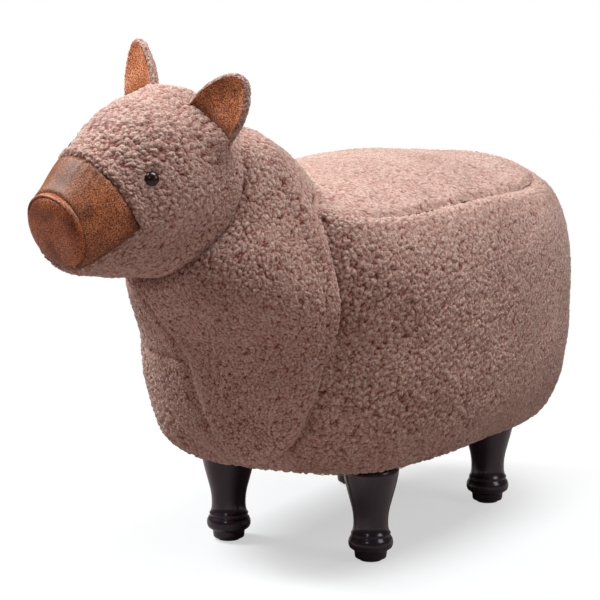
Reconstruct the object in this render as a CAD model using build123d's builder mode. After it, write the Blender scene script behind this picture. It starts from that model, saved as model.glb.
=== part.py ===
from build123d import *
import os
from math import atan2, cos, degrees, hypot, radians, sin, sqrt

# An animal-shaped footstool: a padded, fleece-covered barrel on four turned legs, with a stuffed
# neck and a head that looks a little to its right. Millimetres, floor at Z = 0, the animal faces -Y
# and its left side is +X. The origin is on the floor in the middle of the whole outline.
os.makedirs("parts", exist_ok=True)

# Overall sizes
body_length = 532.0
head_reach = 189.0  # the nose lies this far ahead of the barrel
body_width = 352.0
body_height = 293.0  # height of the untrimmed barrel form
seat_crown_height = 387.0  # top of the seat above the floor
leg_height = 98.0  # floor to the underside of the barrel
body_y = head_reach / 2

# Seat crown: one radius across the seat and one along it
crown_radius_across = 289.0
crown_radius_along = 2083.0
crown_forward = 90.0  # the highest point lies this far ahead of the middle of the barrel

# Cloth, foam and board thicknesses
fleece = 6.0
leather = 2.4
hem = 2.5
dust_cloth = 0.8
board = 15.0
rail = 18.0
cloth_gap = 0.3  # between a cover and what it is drawn over
seam_gap = 0.3  # between two covers sewn edge to edge
fit_gap = 0.15  # round a bolt, screw or post
overrun = 5.0

# Barrel outline in plan: arcs along the sides and the ends, and an arc at each corner,
# with radii in half widths. The side arcs also grow with the square of length over width
side_arc_share = 2.62672
end_arc_share = 1.9
corner_arc_share = 0.8
# Height, half width, half length and shift to the rear of the barrel, bottom to top
barrel_shares = (
    (0.0, 0.740, 0.830, 0.026),
    (0.045, 0.848, 0.897, 0.023),
    (0.125, 0.936, 0.953, 0.016),
    (0.245, 0.986, 0.984, 0.006),
    (0.400, 1.0, 1.0, 0.0),
    (0.590, 0.993, 0.998, 0.0),
    (0.730, 0.955, 0.977, 0.0),
    (0.815, 0.892, 0.944, 0.0),
    (0.880, 0.790, 0.887, 0.0),
    (1.0, 0.560, 0.740, 0.0),
)

# Seat panel outline
seat_side_margin = 40.0
seat_end_margin = 24.0
seat_panel_width = body_width - 2 * seat_side_margin
seat_panel_length = body_length - 2 * seat_end_margin

# Frame box
frame_side_margin = 64.0  # from the barrel's side to the frame
frame_end_margin = 74.0
frame_width = body_width - 2 * frame_side_margin
frame_length = body_length - 2 * frame_end_margin
frame_board_lip = 4.0
board_corner_full = 88.0
board_end_flat = 20.0  # at least this much of the frame's width stays between the corners
board_corner = min(board_corner_full, (frame_width - board_end_flat) / 2)
frame_top = 316.0
corner_block = 38.0

# Neck
neck_width = 214.0
neck_depth = 176.0
neck_height = 318.0
neck_bottom = 124.0
neck_setback = 34.0  # from the barrel's front to the middle of the neck
# Height, then sideways and forward lean, then half width and half depth
neck_shares = (
    (0.0, -0.009, 0.0, 0.150, 0.180),
    (0.020, -0.010, 0.0, 0.390, 0.380),
    (0.080, -0.014, 0.0, 0.640, 0.550),
    (0.205, -0.019, 0.0, 0.895, 0.710),
    (0.365, -0.024, 0.010, 1.025, 0.830),
    (0.550, -0.037, 0.115, 1.010, 1.010),
    (0.650, -0.051, 0.110, 0.935, 1.040),
    (0.755, -0.070, 0.065, 0.825, 1.000),
    (0.910, -0.131, 0.150, 0.700, 0.870),
    (0.965, -0.150, 0.240, 0.610, 0.770),
    (1.0, -0.164, 0.300, 0.480, 0.640),
)
# The centre-front seam leans and turns with the head
neck_seam_turn = 14.5
neck_seam_lean = 3.4

# Head: centre, turn to the animal's right, nod and roll, in degrees
head_size = 172.0
head_right = 51.3
head_overhang = 60.6  # ahead of the barrel
head_z = 406.0
head_turn = 19.3
head_nod = 8.0
head_roll = 8.4
# Place along the head from back to nose, then top, bottom and half width, in half head sizes
head_shares = (
    (-0.97, 0.20, 0.20, 0.20),
    (-0.86, 0.50, 0.50, 0.49),
    (-0.62, 0.77, 0.79, 0.77),
    (-0.25, 0.945, 0.99, 0.94),
    (0.10, 0.965, 1.05, 0.97),
    (0.42, 0.875, 1.08, 0.90),
    (0.72, 0.70, 1.03, 0.77),
    (1.02, 0.50, 0.94, 0.635),
    (1.30, 0.27, 0.85, 0.56),
    (1.64, -0.03, 0.74, 0.49),
)
nose_place = 116.5
nose_drop = 22.5
nose_slope = 16.1
nose_panel = 7.0
nose_width = 88.0
nose_height = 70.0
# Height above the nose's base, then size
nose_shares = ((0.0, 1.0), (0.45, 0.985), (0.8, 0.94), (1.0, 0.87))
muzzle_corner_place = 66.5
muzzle_corner_drop = 19.0
muzzle_seam_slope = 18.3
muzzle_edge_slope = 38.7

# Ears, in the head's own directions
ear_place = 28.8  # behind the head's centre
ear_spread = 50.0
ear_rise = 62.5
ear_width = 60.0
ear_root = 24.0
ear_base_fall = 26.0
ear_base_sweep = 6.0
ear_tip_back = 19.4
ear_tip_out = 29.0
ear_tip_up = 47.5
ear_bulge = 5.0
ear_tip_round = 11.0

# Eyes
eye_place = 51.0
eye_spread = 62.0
eye_rise = 27.0
eye_width = 14.0
eye_dome = 5.5
eye_rim = 0.8
eye_crown = 1.2
eye_stem_width = 4.5
eye_stem = 14.0
washer_width = 18.0
washer = 1.5
washer_depth = 6.9

# Legs: a drum foot, a bead, a waist and a swell up to the seat of the leg
leg_side_inset = 29.4  # from the frame's side to the middle of the leg
leg_end_inset = 57.5
leg_spacing_x = frame_width - 2 * leg_side_inset
leg_spacing_y = frame_length - 2 * leg_end_inset
glide = 2.5
glide_width = 22.0
foot_width = 32.0
foot_top_width = 34.4
foot_top = 10.5
bead_width = 45.0
bead_middle = 18.5
bead_top_width = 39.2
bead_top = 27.0
waist_width = 35.0
waist_middle = 39.0
neck_of_leg_width = 41.4
neck_of_leg = 60.0
swell_width = 51.4
swell_middle = 80.0
leg_top_width = 58.0

# Fixings
plate_width = 44.0
hub_width = 14.0
hub_height = 8.0
bolt_width = 8.0
bolt_in_leg = 38.0
bolt_in_board = 16.0
screw_width = 4.0
screw_head_width = 8.0
screw_head_height = 3.0
screw_length = 42.0
side_screw_inset = 62.0  # from the end of a rail
end_screw_inset = 52.0
post_width = 48.0
post_depth = 34.0
post_bottom = 126.0
post_top = 392.0
head_board_width = 48.0
head_screw_spread = 24.0
neck_bolt_low = 150.0
neck_bolt_rise = 110.0
neck_bolt_head_width = 16.0
neck_bolt_head = 4.0
nut_width = 14.0
nut_height = 6.0
staple_length = 11.0
staple_width = 1.2
staple = 0.7
staple_edge = 3.0
side_staples = 9
end_staples = 5
side_staple_inset = 70.0  # from the end of the dust cover
end_staple_inset = 62.0
dust_cover_edge = 6.0

# Heights and places that follow from the sizes above
barrel_z = leg_height + dust_cloth
base_z = barrel_z + hem + cloth_gap
rail_z = base_z + board
rail_top = frame_top - board
neck_y = body_y - body_length / 2 + neck_setback
head_y = body_y - body_length / 2 - head_overhang
post_y = body_y - frame_length / 2 - post_depth / 2
half_root = sqrt(1 / 2)


def oval(middle_x, middle_y, half_wide, half_high):
    """A closed oval of four quarter-turn arcs that run smoothly into each other."""
    side_radius = (1 + half_root) * half_high - half_root * half_wide
    corner_x = half_wide - side_radius * (1 - half_root)
    corner_y = side_radius * half_root
    right, left_edge = middle_x + corner_x, middle_x - corner_x
    upper, lower = middle_y + corner_y, middle_y - corner_y
    ThreePointArc((right, lower), (middle_x + half_wide, middle_y), (right, upper))
    ThreePointArc((right, upper), (middle_x, middle_y + half_high), (left_edge, upper))
    ThreePointArc((left_edge, upper), (middle_x - half_wide, middle_y), (left_edge, lower))
    ThreePointArc((left_edge, lower), (middle_x, middle_y - half_high), (right, lower))


def pillow(half_wide, half_long, inset, shift=0):
    """The plan of the barrel: bulging sides and ends with a round corner between them."""
    middle = body_y + shift
    side_radius = side_arc_share * half_wide * (body_length / body_width) ** 2 - inset
    end_radius = end_arc_share * half_wide - inset
    corner_radius = corner_arc_share * half_wide - inset
    half_wide, half_long = half_wide - inset, half_long - inset
    side_center = Vector(half_wide - side_radius, 0)
    end_center = Vector(0, half_long - end_radius)
    to_side, to_end = side_radius - corner_radius, end_radius - corner_radius
    line = end_center - side_center
    along = (to_side**2 - to_end**2 + line.length**2) / (2 * line.length)
    away = sqrt(to_side**2 - along**2)
    unit = line.normalized()
    corner = side_center + unit * along + Vector(-unit.Y, unit.X) * away
    side_end = side_center + (corner - side_center).normalized() * side_radius
    end_end = end_center + (corner - end_center).normalized() * end_radius
    bisector = ((side_end - corner) + (end_end - corner)).normalized()
    corner_middle = corner + bisector * corner_radius

    def at(point, sign_x, sign_y):
        return (sign_x * point.X, middle + sign_y * point.Y)

    ThreePointArc(at(side_end, 1, -1), (half_wide, middle), at(side_end, 1, 1))
    ThreePointArc(at(side_end, 1, 1), at(corner_middle, 1, 1), at(end_end, 1, 1))
    ThreePointArc(at(end_end, 1, 1), (0, middle + half_long), at(end_end, -1, 1))
    ThreePointArc(at(end_end, -1, 1), at(corner_middle, -1, 1), at(side_end, -1, 1))
    ThreePointArc(at(side_end, -1, 1), (-half_wide, middle), at(side_end, -1, -1))
    ThreePointArc(at(side_end, -1, -1), at(corner_middle, -1, -1), at(end_end, -1, -1))
    ThreePointArc(at(end_end, -1, -1), (0, middle - half_long), at(end_end, 1, -1))
    ThreePointArc(at(end_end, 1, -1), at(corner_middle, 1, -1), at(side_end, 1, -1))


def barrel_form(inset, floor, ceiling):
    """The padded barrel under its crown, drawn in by inset, between two levels."""
    with BuildPart() as form:
        for rise, wide, long, shift in barrel_shares:
            with BuildSketch(Plane.XY.offset(barrel_z + rise * body_height)):
                with BuildLine():
                    pillow(
                        wide * body_width / 2,
                        long * body_length / 2,
                        inset,
                        shift * body_length,
                    )
                make_face()
        loft()
        crown_center = seat_crown_height - crown_radius_along
        with Locations((0, body_y - crown_forward, crown_center)):
            Torus(
                crown_radius_along - crown_radius_across,
                crown_radius_across - inset,
                rotation=(0, 90, 0),
                mode=Mode.INTERSECT,
            )
        with BuildSketch(Plane.XY.offset(floor)):
            with Locations((0, body_y)):
                Rectangle(2 * body_width, 2 * body_length)
        extrude(amount=ceiling - floor, mode=Mode.INTERSECT)
    return form.part


def neck_form(inset):
    """The neck and chest, swelling from a narrow root on the barrel and tapering to the head."""
    with BuildPart() as form:
        for rise, lean, reach, wide, deep in neck_shares:
            with BuildSketch(Plane.XY.offset(neck_bottom + rise * neck_height)):
                with BuildLine():
                    oval(
                        lean * neck_width,
                        neck_y - reach * neck_depth,
                        wide * neck_width / 2 - inset,
                        deep * neck_depth / 2 - inset,
                    )
                make_face()
        loft()
    return form.part


# The head's directions: it turns to the animal's right, nods and rolls
turn, nod, roll = radians(head_turn), radians(head_nod), radians(head_roll)
forward = Vector(-sin(turn) * cos(nod), -cos(turn) * cos(nod), -sin(nod))
level_left = Vector(cos(turn), -sin(turn), 0)
level_up = forward.cross(level_left)
left = level_left * cos(roll) - level_up * sin(roll)
up = forward.cross(left)
head_center = Vector(-head_right, head_y, head_z)
head_plane = Plane(origin=head_center, x_dir=left, z_dir=forward)
muzzle_corner = head_center + forward * muzzle_corner_place - up * muzzle_corner_drop
seam_slant, edge_slant = radians(muzzle_seam_slope), radians(muzzle_edge_slope)
face_seam = Plane(
    origin=muzzle_corner, x_dir=left, z_dir=forward * cos(seam_slant) - up * sin(seam_slant)
)
muzzle_edge = Plane(
    origin=muzzle_corner, x_dir=left, z_dir=forward * sin(edge_slant) + up * cos(edge_slant)
)
nose_slant = radians(nose_slope)
nose_normal = forward * cos(nose_slant) - up * sin(nose_slant)
nose_plane = Plane(
    origin=head_center + forward * nose_place - up * nose_drop, x_dir=left, z_dir=nose_normal
)


def head_form(inset):
    """The head from back to nose, cut off square to the nose."""
    with BuildPart() as form:
        for place, top, bottom, wide in head_shares:
            with BuildSketch(head_plane.offset(place * head_size / 2)):
                with BuildLine():
                    oval(
                        0,
                        (top - bottom) * head_size / 4,
                        wide * head_size / 2 - inset,
                        (top + bottom) * head_size / 4 - inset,
                    )
                make_face()
        loft()
        split(bisect_by=nose_plane, keep=Keep.BOTTOM)
    return form.part


def block(size_x, size_y, bottom, top, middle_x, middle_y, corner):
    """An upright block, with round corners where corner is not zero."""
    with BuildPart() as shape:
        with BuildSketch(Plane.XY.offset(bottom)):
            with Locations((middle_x, middle_y)):
                if corner:
                    RectangleRounded(size_x, size_y, corner)
                else:
                    Rectangle(size_x, size_y)
        extrude(amount=top - bottom)
    return shape.part


def screws(places, head_z, upward, margin):
    """Countersunk screws at places, their heads flush at head_z, driven up or down."""
    shank, head = screw_width / 2 + margin, screw_head_width / 2 + margin
    side = Align.MIN if upward else Align.MAX
    align = (Align.CENTER, Align.CENTER, side)
    with BuildPart() as group:
        with Locations(*[(x, y, head_z) for x, y in places]):
            Cylinder(shank, screw_length + margin, align=align)
            Cone(
                head if upward else shank,
                shank if upward else head,
                screw_head_height,
                align=align,
            )
    return group.part


def neck_bolts(margin):
    """Carriage bolts through the front rail and the neck post, with nuts inside the frame."""
    head_face_y = post_y - post_depth / 2
    nut_face_y = body_y - frame_length / 2 + rail
    places = [(0, neck_bolt_low), (0, neck_bolt_low + neck_bolt_rise)]
    with BuildPart() as group:
        with BuildSketch(Plane.XZ.offset(-nut_face_y - nut_height)):
            with Locations(*places):
                Circle(bolt_width / 2 + margin)
        extrude(amount=nut_face_y + nut_height - head_face_y)
        with BuildSketch(Plane.XZ.offset(-head_face_y)):
            with Locations(*places):
                Circle(neck_bolt_head_width / 2 + margin)
        extrude(amount=neck_bolt_head + margin)
        with BuildSketch(Plane.XZ.offset(-nut_face_y - nut_height)):
            with Locations(*places):
                RegularPolygon(nut_width / 2, 6)
        extrude(amount=nut_height)
    return group.part


# Frame: a base board, four rails with corner blocks, and a seat board
side_x = frame_width / 2 - rail / 2
end_y = frame_length / 2 - rail / 2
end_rail_length = frame_width - 2 * rail
screw_places = [
    (side * side_x, body_y + step * (frame_length / 2 - side_screw_inset))
    for side in (-1, 1)
    for step in (-1, 0, 1)
]
screw_places += [
    (side * (frame_width / 2 - end_screw_inset), body_y + end * end_y)
    for side in (-1, 1)
    for end in (-1, 1)
]
leg_places = [
    (side * leg_spacing_x / 2, body_y + end * leg_spacing_y / 2)
    for side in (-1, 1)
    for end in (-1, 1)
]
base_screws_space = screws(screw_places, base_z, True, fit_gap)
seat_screws_space = screws(screw_places, frame_top, False, fit_gap)
neck_bolts_space = neck_bolts(fit_gap)
board_width = frame_width + 2 * frame_board_lip
board_length = frame_length + 2 * frame_board_lip
post_notch = block(
    post_width + 2 * fit_gap, post_depth + 2 * fit_gap, rail_top, frame_top, 0, post_y, 0
)

with BuildPart() as base_board:
    with BuildSketch(Plane.XY.offset(base_z)):
        with Locations((0, body_y)):
            RectangleRounded(board_width, board_length, board_corner)
        with Locations(*leg_places):
            Circle(hub_width / 2 + fit_gap, mode=Mode.SUBTRACT)
    extrude(amount=board)
    add(base_screws_space, mode=Mode.SUBTRACT)
base_board.part.label = "base_board"
export_step(base_board.part, "parts/base_board.step")

with BuildPart() as seat_board:
    with BuildSketch(Plane.XY.offset(rail_top)):
        with Locations((0, body_y)):
            RectangleRounded(board_width, board_length, board_corner)
    extrude(amount=board)
    add(seat_screws_space, mode=Mode.SUBTRACT)
    add(post_notch, mode=Mode.SUBTRACT)
seat_board.part.label = "seat_board"
export_step(seat_board.part, "parts/seat_board.step")

for name, wide, long, x, y in (
    ("side_rail_left", rail, frame_length, side_x, body_y),
    ("side_rail_right", rail, frame_length, -side_x, body_y),
    ("front_rail", end_rail_length, rail, 0, body_y - end_y),
    ("rear_rail", end_rail_length, rail, 0, body_y + end_y),
):
    with BuildPart() as rail_piece:
        with BuildSketch(Plane.XY.offset(rail_z)):
            with Locations((x, y)):
                Rectangle(wide, long)
        extrude(amount=rail_top - rail_z)
        add(base_screws_space, mode=Mode.SUBTRACT)
        add(seat_screws_space, mode=Mode.SUBTRACT)
        add(neck_bolts_space, mode=Mode.SUBTRACT)
    rail_piece.part.label = name
    export_step(rail_piece.part, f"parts/{name}.step")

with BuildPart() as corner_blocks:
    with BuildSketch(Plane.XY.offset(rail_z)):
        with Locations((0, body_y)):
            with GridLocations(
                end_rail_length - corner_block, frame_length - 2 * rail - corner_block, 2, 2
            ):
                Rectangle(corner_block, corner_block)
    extrude(amount=rail_top - rail_z)
corner_blocks.part.label = "corner_blocks"
export_step(corner_blocks.part, "parts/corner_blocks.step")

# Neck post on the front rail, and a board on top of it that points at the head
arm = Vector(-head_right, head_y - post_y)
arm_angle = degrees(atan2(arm.Y, arm.X))
head_screw_places = [(side * head_screw_spread / 2, post_y) for side in (-1, 1)]
head_screws_space = screws(head_screw_places, post_top + board, False, fit_gap)

with BuildPart() as neck_post:
    with BuildSketch(Plane.XY.offset(post_bottom)):
        with Locations((0, post_y)):
            Rectangle(post_width, post_depth)
    extrude(amount=post_top - post_bottom)
    add(neck_bolts_space, mode=Mode.SUBTRACT)
    add(head_screws_space, mode=Mode.SUBTRACT)
neck_post.part.label = "neck_post"
export_step(neck_post.part, "parts/neck_post.step")


def head_board_form(margin):
    """The slot-shaped board that reaches from the neck post into the head."""
    with BuildPart() as form:
        with BuildSketch(Plane.XY.offset(post_top - margin)):
            with Locations(Location((arm.X / 2, post_y + arm.Y / 2, 0), (0, 0, arm_angle))):
                SlotCenterToCenter(arm.length, head_board_width + 2 * margin)
        extrude(amount=board + 2 * margin)
    return form.part


head_board_blank = head_board_form(0)
head_board_space = head_board_form(cloth_gap)
with BuildPart() as head_board:
    add(head_board_blank)
    add(head_screws_space, mode=Mode.SUBTRACT)
head_board.part.label = "head_board"
export_step(head_board.part, "parts/head_board.step")

post_block = block(
    post_width + 2 * cloth_gap,
    post_depth + 2 * cloth_gap,
    post_bottom - cloth_gap,
    post_top,
    0,
    post_y,
    0,
)
neck_bolts_room = neck_bolts(cloth_gap)
with BuildPart() as post_space:
    add(post_block)
    add(neck_bolts_room)

low_screws = screws(screw_places, base_z, True, 0)
high_screws = screws(screw_places, frame_top, False, 0)
with BuildPart() as frame_screws:
    add(low_screws)
    add(high_screws)
frame_screws.part.label = "frame_screws"
export_step(frame_screws.part, "parts/frame_screws.step")

neck_screws = screws(head_screw_places, post_top + board, False, 0)
neck_screws.label = "neck_screws"
export_step(neck_screws, "parts/neck_screws.step")

neck_bolt_set = neck_bolts(0)
neck_bolt_set.label = "neck_bolts"
export_step(neck_bolt_set, "parts/neck_bolts.step")

# Legs, with their glides, plates and bolts
with BuildPart() as turned_leg:
    with BuildSketch(Plane.XZ):
        with BuildLine():
            Polyline((0, glide), (foot_width / 2, glide), (foot_top_width / 2, foot_top))
            ThreePointArc(
                (foot_top_width / 2, foot_top),
                (bead_width / 2, bead_middle),
                (bead_top_width / 2, bead_top),
            )
            ThreePointArc(
                (bead_top_width / 2, bead_top),
                (waist_width / 2, waist_middle),
                (neck_of_leg_width / 2, neck_of_leg),
            )
            ThreePointArc(
                (neck_of_leg_width / 2, neck_of_leg),
                (swell_width / 2, swell_middle),
                (leg_top_width / 2, leg_height),
            )
            Polyline((leg_top_width / 2, leg_height), (0, leg_height), (0, glide))
        make_face()
    revolve(axis=Axis.Z)
    with Locations((0, 0, leg_height)):
        Cylinder(
            bolt_width / 2 + fit_gap,
            bolt_in_leg,
            align=(Align.CENTER, Align.CENTER, Align.MAX),
            mode=Mode.SUBTRACT,
        )

leg_names = ("leg_front_right", "leg_rear_right", "leg_front_left", "leg_rear_left")
for (x, y), name in zip(leg_places, leg_names):
    with BuildPart() as leg:
        with Locations((x, y, 0)):
            add(turned_leg.part)
    leg.part.label = name
    export_step(leg.part, f"parts/{name}.step")

with BuildPart() as foot_glides:
    with BuildSketch():
        with Locations(*leg_places):
            Circle(glide_width / 2)
    extrude(amount=glide)
foot_glides.part.label = "foot_glides"
export_step(foot_glides.part, "parts/foot_glides.step")

with BuildPart() as leg_plates:
    with BuildSketch(Plane.XY.offset(barrel_z)):
        with Locations(*leg_places):
            Circle(plate_width / 2)
    extrude(amount=base_z - barrel_z)
    with BuildSketch(Plane.XY.offset(base_z)):
        with Locations(*leg_places):
            Circle(hub_width / 2)
    extrude(amount=hub_height)
    with BuildSketch(Plane.XY.offset(barrel_z)):
        with Locations(*leg_places):
            Circle(bolt_width / 2 + fit_gap)
    extrude(amount=base_z - barrel_z + hub_height, mode=Mode.SUBTRACT)
leg_plates.part.label = "leg_plates"
export_step(leg_plates.part, "parts/leg_plates.step")

with BuildPart() as hanger_bolts:
    with BuildSketch(Plane.XY.offset(leg_height - bolt_in_leg)):
        with Locations(*leg_places):
            Circle(bolt_width / 2)
    extrude(amount=bolt_in_leg + bolt_in_board)
hanger_bolts.part.label = "hanger_bolts"
export_step(hanger_bolts.part, "parts/hanger_bolts.step")

dust_width = frame_width + 2 * dust_cover_edge
dust_length = frame_length + 2 * dust_cover_edge
with BuildPart() as dust_cover:
    with BuildSketch(Plane.XY.offset(leg_height)):
        with Locations((0, body_y)):
            RectangleRounded(dust_width, dust_length, board_corner + dust_cover_edge)
        with Locations(*leg_places):
            Circle(bolt_width / 2 + fit_gap, mode=Mode.SUBTRACT)
    extrude(amount=dust_cloth)
dust_cover.part.label = "dust_cover"
export_step(dust_cover.part, "parts/dust_cover.step")

side_staple_pitch = (dust_length - 2 * side_staple_inset) / (side_staples - 1)
end_staple_pitch = (dust_width - 2 * end_staple_inset) / (end_staples - 1)
with BuildPart() as staples:
    with BuildSketch(Plane.XY.offset(leg_height - staple)):
        with Locations((0, body_y)):
            with GridLocations(dust_width - 2 * staple_edge, side_staple_pitch, 2, side_staples):
                Rectangle(staple_width, staple_length)
            with GridLocations(end_staple_pitch, dust_length - 2 * staple_edge, end_staples, 2):
                Rectangle(staple_length, staple_width)
    extrude(amount=staple)
staples.part.label = "staples"
export_step(staples.part, "parts/staples.step")

# Barrel: foam round the frame, the seat cushion, two side panels and the seat panel
barrel_top = seat_crown_height + overrun
outer_barrel = barrel_form(0, barrel_z, barrel_top)
inner_barrel = barrel_form(fleece, barrel_z + hem, barrel_top)
foam_low = barrel_form(fleece + cloth_gap, base_z, frame_top)
foam_high = barrel_form(fleece + cloth_gap, frame_top + cloth_gap, barrel_top)
hem_opening = block(
    frame_width, frame_length, barrel_z, base_z, 0, body_y, board_corner - frame_board_lip
)
box_wide, box_long = frame_width + 2 * cloth_gap, frame_length + 2 * cloth_gap
board_wide, board_long = board_width + 2 * cloth_gap, board_length + 2 * cloth_gap
frame_room = block(box_wide, box_long, base_z, frame_top, 0, body_y, 0)
base_room = block(board_wide, board_long, base_z, rail_z + cloth_gap, 0, body_y, board_corner)
seat_room = block(
    board_wide, board_long, rail_top - cloth_gap, frame_top, 0, body_y, board_corner
)


def seat_panel_column(margin):
    """The column of space over the seat panel's outline, drawn in by margin."""
    with BuildPart() as form:
        with BuildSketch(Plane.XY.offset(frame_top)):
            with BuildLine():
                pillow(seat_panel_width / 2, seat_panel_length / 2, margin)
            make_face()
        extrude(amount=seat_crown_height)
    return form.part


seat_column = seat_panel_column(0)
seat_column_inner = seat_panel_column(seam_gap)

with BuildPart() as barrel_foam:
    add(foam_low)
    for room in (frame_room, base_room, seat_room, post_space.part):
        add(room, mode=Mode.SUBTRACT)
barrel_foam.part.label = "barrel_foam"
export_step(barrel_foam.part, "parts/barrel_foam.step")

with BuildPart() as seat_foam:
    add(foam_high)
    add(post_space.part, mode=Mode.SUBTRACT)
seat_foam.part.label = "seat_foam"
export_step(seat_foam.part, "parts/seat_foam.step")

with BuildPart() as barrel_shell:
    add(outer_barrel)
    for room in (inner_barrel, hem_opening, post_space.part):
        add(room, mode=Mode.SUBTRACT)

for name, keep, place in (
    ("side_cover_left", Keep.TOP, seam_gap / 2),
    ("side_cover_right", Keep.BOTTOM, -seam_gap / 2),
):
    with BuildPart() as side_cover:
        add(barrel_shell.part)
        add(seat_column, mode=Mode.SUBTRACT)
        split(bisect_by=Plane.YZ.offset(place), keep=keep)
    side_cover.part.label = name
    export_step(side_cover.part, f"parts/{name}.step")

with BuildPart() as seat_cover:
    add(barrel_shell.part)
    add(seat_column_inner, mode=Mode.INTERSECT)
seat_cover.part.label = "seat_cover"
export_step(seat_cover.part, "parts/seat_cover.step")

# Head: filling, fleece cover, leather muzzle and nose
outer_head = head_form(0)
inner_head = head_form(fleece)
filling_head = head_form(fleece + cloth_gap)


def stem_space(surface, direction, radius, depth):
    """A round space along an eye's stem, from outside the head inwards."""
    with BuildPart() as space:
        with BuildSketch(Plane(origin=surface + direction * overrun, z_dir=-direction)):
            Circle(radius)
        extrude(amount=depth + overrun)
    return space.part


eye_places, stem_spaces, washer_spaces = {}, [], []
for name, side in (("eye_left", 1), ("eye_right", -1)):
    direction = forward * eye_place + left * (side * eye_spread) + up * eye_rise
    hits = outer_head.find_intersection_points(Axis(head_center, direction))
    surface, direction = max(hits, key=lambda hit: (hit[0] - head_center).dot(direction))
    eye_places[name] = (surface, direction)
    stem_spaces.append(
        stem_space(surface, direction, eye_stem_width / 2 + fit_gap, 2 * fleece)
    )
    washer_spaces.append(
        stem_space(surface, direction, washer_width / 2 + cloth_gap, eye_stem + cloth_gap)
    )

with BuildPart() as turned_eye:
    with BuildSketch(Plane.XZ):
        with BuildLine():
            Polyline(
                (0, -eye_stem),
                (eye_stem_width / 2, -eye_stem),
                (eye_stem_width / 2, cloth_gap),
                (eye_width / 2, cloth_gap),
                (eye_width / 2, eye_rim),
            )
            ThreePointArc(
                (eye_width / 2, eye_rim),
                (eye_width / 2 * half_root, eye_rim + (eye_dome - eye_rim) * half_root),
                (eye_crown / 2, eye_dome),
            )
            Polyline((eye_crown / 2, eye_dome), (0, eye_dome), (0, -eye_stem))
        make_face()
    revolve(axis=Axis.Z)

for name, (surface, direction) in eye_places.items():
    with BuildPart() as eye:
        with Locations(Plane(origin=surface, z_dir=direction)):
            add(turned_eye.part)
    eye.part.label = name
    export_step(eye.part, f"parts/{name}.step")

with BuildPart() as eye_washers:
    for surface, direction in eye_places.values():
        with BuildSketch(Plane(origin=surface - direction * washer_depth, z_dir=-direction)):
            Circle(washer_width / 2)
            Circle(eye_stem_width / 2 + fit_gap, mode=Mode.SUBTRACT)
        extrude(amount=washer)
eye_washers.part.label = "eye_washers"
export_step(eye_washers.part, "parts/eye_washers.step")

with BuildPart() as head_shell:
    add(outer_head)
    add(inner_head, mode=Mode.SUBTRACT)

with BuildPart() as head_cover:
    add(head_shell.part)
    split(bisect_by=face_seam, keep=Keep.BOTTOM)
    for room in (post_space.part, head_board_space, *stem_spaces):
        add(room, mode=Mode.SUBTRACT)
head_cover.part.label = "head_cover"
export_step(head_cover.part, "parts/head_cover.step")

for name, keep, place in (
    ("muzzle_cover", Keep.TOP, seam_gap),
    ("chin_cover", Keep.BOTTOM, 0),
):
    with BuildPart() as front_cover:
        add(head_shell.part)
        split(bisect_by=face_seam.offset(seam_gap), keep=Keep.TOP)
        split(bisect_by=muzzle_edge.offset(place), keep=keep)
    front_cover.part.label = name
    export_step(front_cover.part, f"parts/{name}.step")

with BuildPart() as head_filling:
    add(filling_head)
    for room in (post_space.part, head_board_space, *washer_spaces):
        add(room, mode=Mode.SUBTRACT)
head_filling.part.label = "head_filling"
export_step(head_filling.part, "parts/head_filling.step")

with BuildPart() as nose:
    for rise, share in nose_shares:
        with BuildSketch(nose_plane.offset(rise * nose_panel)):
            with BuildLine():
                oval(0, 0, share * nose_width / 2, share * nose_height / 2)
            make_face()
    loft()
nose.part.label = "nose_panel"
export_step(nose.part, "parts/nose_panel.step")

# Neck: filling and a cover in two halves, cut by the barrel and the head
barrel_room = barrel_form(-seam_gap, barrel_z, barrel_top)
head_room = head_form(-seam_gap)
outer_neck = neck_form(0)
inner_neck = neck_form(fleece)
filling_neck = neck_form(fleece + cloth_gap)
seam_turn, seam_lean = radians(neck_seam_turn), radians(neck_seam_lean)
neck_seam = Plane(
    origin=(0, neck_y, neck_bottom),
    x_dir=(sin(seam_turn), cos(seam_turn), 0),
    z_dir=(cos(seam_turn), -sin(seam_turn), sin(seam_lean)),
)

with BuildPart() as neck_filling:
    add(filling_neck)
    for room in (barrel_room, head_room, post_space.part, head_board_space):
        add(room, mode=Mode.SUBTRACT)
neck_filling.part.label = "neck_filling"
export_step(neck_filling.part, "parts/neck_filling.step")

with BuildPart() as neck_shell:
    add(outer_neck)
    for room in (inner_neck, barrel_room, head_room):
        add(room, mode=Mode.SUBTRACT)

for name, keep, place in (
    ("neck_cover_left", Keep.TOP, seam_gap / 2),
    ("neck_cover_right", Keep.BOTTOM, -seam_gap / 2),
):
    with BuildPart() as neck_cover:
        add(neck_shell.part)
        split(bisect_by=neck_seam.offset(place), keep=keep)
    neck_cover.part.label = name
    export_step(neck_cover.part, f"parts/{name}.step")

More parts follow.
